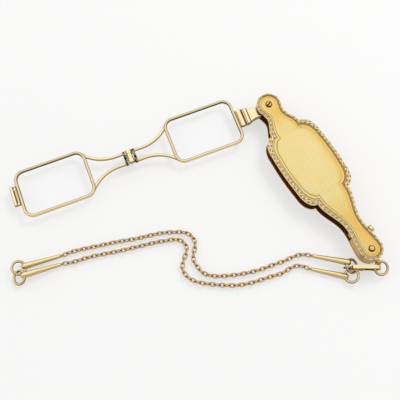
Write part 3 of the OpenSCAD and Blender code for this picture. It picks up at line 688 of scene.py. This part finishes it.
def turned_pin(name, centre_y, shaft, foot, head, height, slotted):
    """A pin with its head upward, turned about the line x = 0, y = centre_y."""
    stations = [(shaft / 2, foot - SEAT_Z, 0), (shaft / 2, 0, 0), (head / 2, 0, 0)]
    stations += [(head / 2 * r, height * rise, dark) for r, rise, dark in HEAD_PROFILE]
    sections, shades = [], []
    for radius, rise, dark in stations:
        section = []
        for k in range(HEAD_SIDES):
            angle = 2 * math.pi * k / HEAD_SIDES
            x, y = radius * math.cos(angle), radius * math.sin(angle)
            off_slot = abs(x * math.sin(SLOT_ANGLE) - y * math.cos(SLOT_ANGLE))
            in_slot = (slotted and rise > 0 and radius < SLOT_REACH * head / 2
                       and off_slot < SLOT_WIDTH / 2)
            sunk = SLOT_DEPTH if in_slot else 0
            section.append(Vector((x, centre_y + y, SEAT_Z + rise - sunk)))
            # The sunk ring is painted darker on the side away from the light, and the slot dark as
            # shade
            shades.append(1 if in_slot else dark * (0.7 - 0.3 * math.cos(angle - LIT_SIDE)))
        sections.append(section)
    bm = bmesh.new()
    layer = bm.verts.layers.float.new("grime_and_shade")
    rings = sweep(bm, sections, closed=False)
    for vert, shade in zip([vert for ring in rings for vert in ring], shades):
        vert[layer] = shade
    bm.faces.new(rings[0])
    sunk = SLOT_DEPTH if slotted else 0
    middle = bm.verts.new(Vector((0, centre_y, SEAT_Z + height - sunk)) * MM)
    middle[layer] = 1 if slotted else 0
    for k in range(HEAD_SIDES):
        bm.faces.new((rings[-1][k], rings[-1][(k + 1) % HEAD_SIDES], middle))
    piece = finish_piece(bm, name, head_gold, "case", crease=50)
    return piece


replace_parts(turned_pin("slotted_screw", 0, shaft=2, foot=0, head=2.9, height=0.5, slotted=True),
            "pivot_screw")
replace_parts(turned_pin("domed_rivet", -CASE_LENGTH, shaft=1.6, foot=BORDER_HEIGHT - PANEL_HEIGHT,
                       head=2.7, height=0.6, slotted=False), "bottom_rivet")


# Frames: gold wire with a rounded back, grooved inside for the glass and bent round a
# former to a long rectangle. The solder joint hides under the block at its outer end.
OPEN_TURN = math.radians(90 - 101)
BRIDGE_AT = 60.75
LENS_AT = 32.05
FRAME_LENGTH = 28.8
FRAME_HEIGHT = 19.4
FRAME_CORNER = 3.6
CORNER_STEPS = 12
RIM_Z = 3.35
# Outward from the middle of the wire, and up
RIM_SECTION = [
    (0, -0.75), (0.3, -0.7), (0.5, -0.56), (0.6, -0.33), (0.625, 0), (0.6, 0.33), (0.5, 0.56),
    (0.3, 0.7), (0, 0.75), (-0.3, 0.7), (-0.5, 0.56), (-0.6, 0.42), (-0.6, 0.35), (-0.125, 0.35),
    (-0.125, -0.35), (-0.6, -0.35), (-0.6, -0.42), (-0.5, -0.56), (-0.3, -0.7),
]
# Points further in or out than this are on the wire's flanks
RIM_FLANK = 0.4
pair_turn = Matrix.Rotation(OPEN_TURN, 3, "Z")


# Polished gold: drawn wire with a mirror shine on its crown. Polish and dust with painted
# shade sit dark beside the glass and along the outer edge, and the outer edge is painted
# darker as shade on the upper bars.
def polished_gold():
    material, tree = start_material("polished_gold")
    place = add_node(tree, "ShaderNodeTexCoord")
    cloud = add_node(tree, "ShaderNodeTexNoise",
                     {"Vector": place.outputs["Object"], "Scale": noise_scale(10), "Detail": 3.0})
    gold = add_node(tree, "ShaderNodeMix",
                    {0: cloud.outputs["Fac"], 6: linear("#EFD79C"), 7: linear("#FAEDC8")},
                    data_type="RGBA")
    grime_and_shade = add_node(tree, "ShaderNodeAttribute", attribute_name="grime_and_shade")
    tint = add_node(tree, "ShaderNodeMix",
                    {0: grime_and_shade.outputs["Fac"], 6: gold.outputs[2], 7: linear("#3A2609")},
                    data_type="RGBA")
    dull = add_node(tree, "ShaderNodeMapRange",
                    {"Value": cloud.outputs["Fac"], "From Min": 0.3, "From Max": 0.7,
                     "To Min": 0.14, "To Max": 0.24})
    metal = add_node(tree, "ShaderNodeBsdfPrincipled",
                     {"Base Color": tint.outputs[2], "Metallic": 1.0,
                      "Roughness": dull.outputs["Result"], "Specular Tint": linear("#B89A68")})
    add_node(tree, "ShaderNodeOutputMaterial", {"Surface": metal.outputs["BSDF"]})
    return material


mirror_gold = polished_gold()


def frame_wire(name, centre_x, body):
    """A closed frame, with the grime and painted shade of each point by its place in the wire's
    section.
    """
    sections, edge_grime_and_shade = [], []
    for quarter, (sx, sy) in enumerate(((1, 1), (-1, 1), (-1, -1), (1, -1))):
        corner = Vector((sx * (FRAME_LENGTH / 2 - FRAME_CORNER),
                         sy * (FRAME_HEIGHT / 2 - FRAME_CORNER), 0))
        for i in range(CORNER_STEPS + 1):
            angle = math.radians(90 * quarter + 90 * i / CORNER_STEPS)
            outward = Vector((math.cos(angle), math.sin(angle), 0))
            sections.append([
                pair_turn @ (Vector((centre_x, 0, RIM_Z)) + corner
                             + (FRAME_CORNER + out) * outward + Vector((0, 0, up)))
                for out, up in RIM_SECTION])
            # The outer edge is painted darker as shade on the upper bars
            edge_grime_and_shade.append(0.45 + 0.35 * outward.y)
    bm = bmesh.new()
    layer = bm.verts.layers.float.new("grime_and_shade")
    for ring, grime_and_shade in zip(sweep(bm, sections, closed=True), edge_grime_and_shade):
        for vert, (out, up) in zip(ring, RIM_SECTION):
            vert[layer] = 0.95 if out < -RIM_FLANK else grime_and_shade if out > RIM_FLANK else 0.28 * grime_and_shade
    piece = finish_piece(bm, name, mirror_gold, body, crease=50)
    return piece


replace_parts(frame_wire("near_frame", LENS_AT - BRIDGE_AT, "near_pair"), "near_rim")
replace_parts(frame_wire("far_frame", -LENS_AT - BRIDGE_AT, "far_pair"), "far_rim")


# Blocks: each frame ends in a block of two rounded bands, milled from bar and soldered
# on; two small screws close the frame there, and dark polish with painted shade stays in the milled
# lines.
BLOCK_FROM = 47.075
BLOCK_LOW = 2.55
BLOCK_TOP = 4.15
NEAR_HALF_WIDTH = 3.85
NEAR_MIDDLE = -0.1
FAR_HALF_WIDTH = 4.2
FAR_MIDDLE = 0.6
BAR_EDGE = 0.22
# Distance out from the frame, how far the half width draws in, how far the top sinks, grime and
# painted shade
NEAR_BANDS = [(0, 0.05, 0.45, 0.9), (0.3, 0.05, 0.4, 0.8), (0.65, 0.05, 0.3, 0.5),
              (0.85, 0, 0.06, 0), (1.4, 0, 0, 0), (2.1, 0, 0.04, 0), (2.42, 0.05, 0.2, 0.3),
              (2.55, 0.2, 0.5, 1), (2.75, 0.2, 0.5, 1), (2.86, 0.1, 0.2, 0.4),
              (3.1, 0.15, 0.03, 0), (3.25, 0.18, 0, 0)]
FAR_BANDS = [(0, 0.05, 0.5, 1), (0.15, 0.05, 0.3, 0.7), (0.4, 0, 0.2, 0.35),
             (0.95, 0, 0.2, 0.35), (1.12, 0.1, 0.45, 1), (1.3, 0.1, 0.45, 1),
             (1.42, 0, 0.18, 0.3), (1.65, 0, 0.02, 0), (2.1, 0, 0, 0), (2.4, 0.05, 0.1, 0),
             (2.6, 0.15, 0.4, 0.6)]


# Milled gold: the tops of the bands are painted pale and bright, their flanks a deeper
# gold as painted shade, and brown polish with painted shade draws a line in every milled groove.
def milled_gold():
    material, tree = start_material("milled_gold_with_grime_and_shade")
    place = add_node(tree, "ShaderNodeTexCoord")
    grime_and_shade = add_node(tree, "ShaderNodeAttribute", attribute_name="grime_and_shade")
    cloud = add_node(tree, "ShaderNodeTexNoise",
                     {"Vector": place.outputs["Object"], "Scale": noise_scale(3), "Detail": 2.0})
    gold = add_node(tree, "ShaderNodeMix",
                    {0: cloud.outputs["Fac"], 6: linear("#F6E2AE"), 7: linear("#FFF5DA")},
                    data_type="RGBA")
    # Flanks painted a deeper gold as shade, and milled lines painted dark
    flank = add_node(tree, "ShaderNodeMix",
                     {0: lit_level_faces(tree, place, 0.55, 0.97), 6: linear("#8A6830"),
                      7: gold.outputs[2]}, data_type="RGBA")
    tint = add_node(tree, "ShaderNodeMix",
                    {0: grime_and_shade.outputs["Fac"], 6: flank.outputs[2], 7: linear("#8A682C")},
                    data_type="RGBA")
    metal = add_node(tree, "ShaderNodeBsdfPrincipled",
                     {"Base Color": tint.outputs[2], "Metallic": 1.0, "Roughness": 0.24})
    add_node(tree, "ShaderNodeOutputMaterial", {"Surface": metal.outputs["BSDF"]})
    return material


block_gold = milled_gold()


def banded_bar(name, stations, middle, low, high, body):
    """A bar along the pair. A station is x, half width, how far the top sinks, and grime and
    painted shade.
    """
    bm = bmesh.new()
    layer = bm.verts.layers.float.new("grime_and_shade")
    sections = []
    for x, half, sunk, grime_and_shade in stations:
        top = high - sunk
        right = [(half - BAR_EDGE, low), (half, low + BAR_EDGE), (half, top - 2 * BAR_EDGE),
                 (half - 0.3 * BAR_EDGE, top - 0.7 * BAR_EDGE),
                 (half - BAR_EDGE, top - 0.15 * BAR_EDGE), (half - 3 * BAR_EDGE, top)]
        section = right + [(-y, z) for y, z in reversed(right)]
        sections.append([pair_turn @ Vector((x, middle + y, z)) for y, z in section])
    rings = sweep(bm, sections, closed=False)
    for ring, station in zip(rings, stations):
        for vert in ring:
            vert[layer] = station[-1]
    bm.faces.new(rings[0])
    bm.faces.new(rings[-1])
    piece = finish_piece(bm, name, block_gold, body, crease=50)
    return piece


near_stations = [(BLOCK_FROM - BRIDGE_AT + out, NEAR_HALF_WIDTH - drawn, sunk, grime_and_shade)
                 for out, drawn, sunk, grime_and_shade in NEAR_BANDS]
far_stations = [(-BLOCK_FROM - BRIDGE_AT - out, FAR_HALF_WIDTH - drawn, sunk, grime_and_shade)
                for out, drawn, sunk, grime_and_shade in FAR_BANDS]
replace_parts(banded_bar("near_bands", near_stations, NEAR_MIDDLE, BLOCK_LOW, BLOCK_TOP,
                       "near_pair"), "near_block")
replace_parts(banded_bar("far_bands", far_stations, FAR_MIDDLE, BLOCK_LOW, BLOCK_TOP,
                       "far_pair"), "far_block")


# Arm: a flat bar sawn from thick sheet, broad at the block and drawn in to a neck before it
# enters the case, where its round eye turns on the bush. One line is cut across its end.
ARM_LOW = 2.525
ARM_TOP = 4.925
ARM_FROM = -10.425
ARM_MIDDLE = -0.35
EYE_RADIUS = 4.1
EYE_HOLE = 1.68
EYE_EDGE = 0.15
EYE_SIDES = 48
# Distance in from the block, half width, how far the top sinks, grime and painted shade
ARM_SHAPE = [(0, 3.66, 0.12, 0), (0.1, 3.65, 0, 0), (0.9, 3.5, 0, 0), (1.2, 3.4, 0.05, 0.2),
             (1.32, 3.3, 0.25, 0.9), (1.46, 3.25, 0.25, 0.9), (1.56, 3.2, 0.05, 0.3),
             (1.75, 3.15, 0, 0), (2.2, 3.0, 0, 0), (2.8, 2.75, 0, 0), (3.6, 2.55, 0, 0),
             (4.4, 2.45, 0, 0), (7.6, 2.45, 0, 0)]
arm_stations = [(ARM_FROM + along, half, sunk, grime_and_shade) for along, half, sunk, grime_and_shade in ARM_SHAPE]
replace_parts(banded_bar("arm_bar", arm_stations, ARM_MIDDLE, ARM_LOW, ARM_TOP, "near_pair"),
            "arm_shank")


def arm_ring(name):
    """The eye: a flat ring with broken edges, which lies round the bush."""
    bm = bmesh.new()
    bm.verts.layers.float.new("grime_and_shade")
    sections = []
    for radius, z in ((EYE_HOLE, ARM_LOW), (EYE_RADIUS - EYE_EDGE, ARM_LOW),
                      (EYE_RADIUS, ARM_LOW + EYE_EDGE), (EYE_RADIUS, ARM_TOP - EYE_EDGE),
                      (EYE_RADIUS - EYE_EDGE, ARM_TOP), (EYE_HOLE, ARM_TOP)):
        angles = [2 * math.pi * k / EYE_SIDES for k in range(EYE_SIDES)]
        sections.append([Vector((radius * math.cos(a), radius * math.sin(a), z)) for a in angles])
    sweep(bm, sections, closed=True)
    piece = finish_piece(bm, name, block_gold, "near_pair", crease=50)
    return piece


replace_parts(arm_ring("arm_eye"), "arm_shank")


# Bridge and hinge: two round wires run from each frame to a crossbar that carries the
# knuckles of the hinge, on a pin with turned ends. The frames' screws are of the same gold.


# Drawn gold with painted shade: painted pale on top and deeper on the flanks, as the frames are,
# and painted dark as shade, in patches, in the corners between crossbars and barrel.
def hinge_gold():
    material, tree = start_material("drawn_gold_with_painted_shade")
    place = add_node(tree, "ShaderNodeTexCoord")
    turned = add_node(tree, "ShaderNodeMapping",
                      {"Vector": place.outputs["Object"], "Rotation": (0, 0, -OPEN_TURN)})
    parts = add_node(tree, "ShaderNodeSeparateXYZ", {"Vector": turned.outputs["Vector"]})
    # Painted shade in the corners between the crossbars and the barrel
    across = add_node(tree, "ShaderNodeMath", {0: parts.outputs["X"], 1: BRIDGE_AT * MM},
                      operation="ADD")
    away = add_node(tree, "ShaderNodeMath", {0: across.outputs["Value"]}, operation="ABSOLUTE")
    past_barrel = add_node(tree, "ShaderNodeMapRange",
                      {"Value": away.outputs["Value"], "From Min": 1.0 * MM, "From Max": 1.35 * MM},
                      interpolation_type="SMOOTHSTEP")
    near_barrel = add_node(tree, "ShaderNodeMapRange",
                     {"Value": away.outputs["Value"], "From Min": 2.3 * MM, "From Max": 2.9 * MM,
                      "To Min": 1.0, "To Max": 0.0}, interpolation_type="SMOOTHSTEP")
    barrel_shade = add_node(tree, "ShaderNodeMath",
                    {0: past_barrel.outputs["Result"], 1: near_barrel.outputs["Result"]},
                    operation="MULTIPLY")
    cloud = add_node(tree, "ShaderNodeTexNoise",
                     {"Vector": place.outputs["Object"], "Scale": noise_scale(1.2), "Detail": 2.0})
    patchy = add_node(tree, "ShaderNodeMapRange",
                      {"Value": cloud.outputs["Fac"], "From Min": 0.3, "From Max": 0.6,
                       "To Min": 0.55, "To Max": 1.0})
    grime_and_shade = add_node(tree, "ShaderNodeMath",
                     {0: barrel_shade.outputs["Value"], 1: patchy.outputs["Result"]},
                     operation="MULTIPLY")
    flank = add_node(tree, "ShaderNodeMix",
                     {0: lit_level_faces(tree, place, 0.45, 0.98), 6: linear("#A27E3A"),
                      7: linear("#FFF2C8")}, data_type="RGBA")
    tint = add_node(tree, "ShaderNodeMix",
                    {0: grime_and_shade.outputs["Value"], 6: flank.outputs[2], 7: linear("#2A1A08")},
                    data_type="RGBA")
    metal = add_node(tree, "ShaderNodeBsdfPrincipled",
                     {"Base Color": tint.outputs[2], "Metallic": 1.0, "Roughness": 0.34})
    add_node(tree, "ShaderNodeOutputMaterial", {"Surface": metal.outputs["BSDF"]})
    return material


finish_nodes(hinge_gold(), "near_bridge", "far_bridge", "hinge_pin", "hinge_cap",
             "near_screws", "far_screws")


# Lenses: plain crown glass, ground flat, bevelled at the edge and sprung into the grooves.


# Ground crown glass: colourless and clear, with a sharp reflection. Light for the table
# under it passes straight through, so that it casts almost no shadow.
def crown_glass():
    material, tree = start_material("ground_crown_glass")
    glass = add_node(tree, "ShaderNodeBsdfPrincipled",
                     {"Base Color": linear("#FEFFFF"), "Roughness": 0.01, "IOR": 1.52,
                      "Transmission Weight": 1.0})
    clear = add_node(tree, "ShaderNodeBsdfTransparent", {"Color": linear("#FEFFFF")})
    rays = add_node(tree, "ShaderNodeLightPath")
    lighting = add_node(tree, "ShaderNodeMath",
                        {0: rays.outputs["Is Shadow Ray"], 1: rays.outputs["Is Diffuse Ray"]},
                        operation="MAXIMUM")
    both = add_node(tree, "ShaderNodeMixShader",
                    {0: lighting.outputs["Value"], 1: glass.outputs["BSDF"],
                     2: clear.outputs["BSDF"]})
    add_node(tree, "ShaderNodeOutputMaterial", {"Surface": both.outputs["Shader"]})
    return material


finish_nodes(crown_glass(), "near_lens", "far_lens")


# Table, lamp and room: a plain white table, one soft lamp from the upper right of the
# picture, and a room that is white overhead, greyer towards the horizon and the front.
TABLE_HALF = 12
LAMP_AT = Vector((0.5, 0.17, 0.6))
LAMP_AIM = Vector((-0.03, -0.03, 0))
LAMP_ACROSS = 0.25
LAMP_WATTS = 1.55
# The way from the front of the room to its back, and the white of its parts
TO_BACK = (0.35, 0.94, 0)
HORIZON = (0.78, 0.775, 0.77, 1)
FRONT = (0.5, 0.49, 0.47, 1)
OVERHEAD = (1.05, 1.04, 1.02, 1)


# White painted table: matt, and half of it glows towards the eye and in reflections, so
# that it looks white and still keeps the object's shadow.
def white_table(glow_share=0.52):
    material, tree = start_material("white_table")
    paint = add_node(tree, "ShaderNodeBsdfDiffuse", {"Color": linear("#F5F5F6")})
    glow = add_node(tree, "ShaderNodeEmission", {"Color": (1, 1, 1, 1), "Strength": 1.0})
    rays = add_node(tree, "ShaderNodeLightPath")
    mirrored = add_node(tree, "ShaderNodeMath",
                        {0: rays.outputs["Is Glossy Ray"], 1: rays.outputs["Is Transmission Ray"]},
                        operation="MAXIMUM")
    seen = add_node(tree, "ShaderNodeMath",
                    {0: rays.outputs["Is Camera Ray"], 1: mirrored.outputs["Value"]},
                    operation="MAXIMUM")
    share = add_node(tree, "ShaderNodeMath", {0: seen.outputs["Value"], 1: glow_share},
                     operation="MULTIPLY")
    both = add_node(tree, "ShaderNodeMixShader",
                    {0: share.outputs["Value"], 1: paint.outputs["BSDF"],
                     2: glow.outputs["Emission"]})
    add_node(tree, "ShaderNodeOutputMaterial", {"Surface": both.outputs["Shader"]})
    return material


bm = bmesh.new()
bmesh.ops.create_grid(bm, x_segments=2, y_segments=2, size=TABLE_HALF)
table_mesh = bpy.data.meshes.new("table")
bm.to_mesh(table_mesh)
bm.free()
table_mesh.materials.append(white_table())
table = bpy.data.objects.new("table", table_mesh)
table.location = (0, 0, cad_box[0][2])
bpy.context.scene.collection.objects.link(table)

room = bpy.data.worlds.new("room")
bpy.context.scene.world = room
room.use_nodes = True
tree = room.node_tree
tree.nodes.clear()
direction = add_node(tree, "ShaderNodeTexCoord")
height = add_node(tree, "ShaderNodeSeparateXYZ", {"Vector": direction.outputs["Generated"]})
level = add_node(tree, "ShaderNodeMapRange",
                 {"Value": height.outputs["Z"], "From Min": 0.08, "From Max": 0.5},
                 interpolation_type="SMOOTHSTEP")
lit_from = add_node(tree, "ShaderNodeVectorMath",
                    {0: direction.outputs["Generated"], 1: TO_BACK}, operation="DOT_PRODUCT")
side = add_node(tree, "ShaderNodeMapRange",
                {"Value": lit_from.outputs["Value"], "From Min": -0.6, "From Max": 0.3},
                interpolation_type="SMOOTHSTEP")
tent = add_node(tree, "ShaderNodeMix", {0: side.outputs["Result"], 6: FRONT, 7: OVERHEAD},
                data_type="RGBA")
walls = add_node(tree, "ShaderNodeMix",
                 {0: level.outputs["Result"], 6: HORIZON, 7: tent.outputs[2]}, data_type="RGBA")
sky = add_node(tree, "ShaderNodeBackground", {"Color": walls.outputs[2], "Strength": 1.0})
add_node(tree, "ShaderNodeOutputWorld", {"Surface": sky.outputs["Background"]})

lamp_data = bpy.data.lights.new("soft_lamp", "AREA")
lamp_data.shape = "DISK"
lamp_data.size = LAMP_ACROSS
lamp_data.energy = LAMP_WATTS
lamp = bpy.data.objects.new("soft_lamp", lamp_data)
lamp.visible_glossy = False
aim(lamp, LAMP_AT, LAMP_AIM)
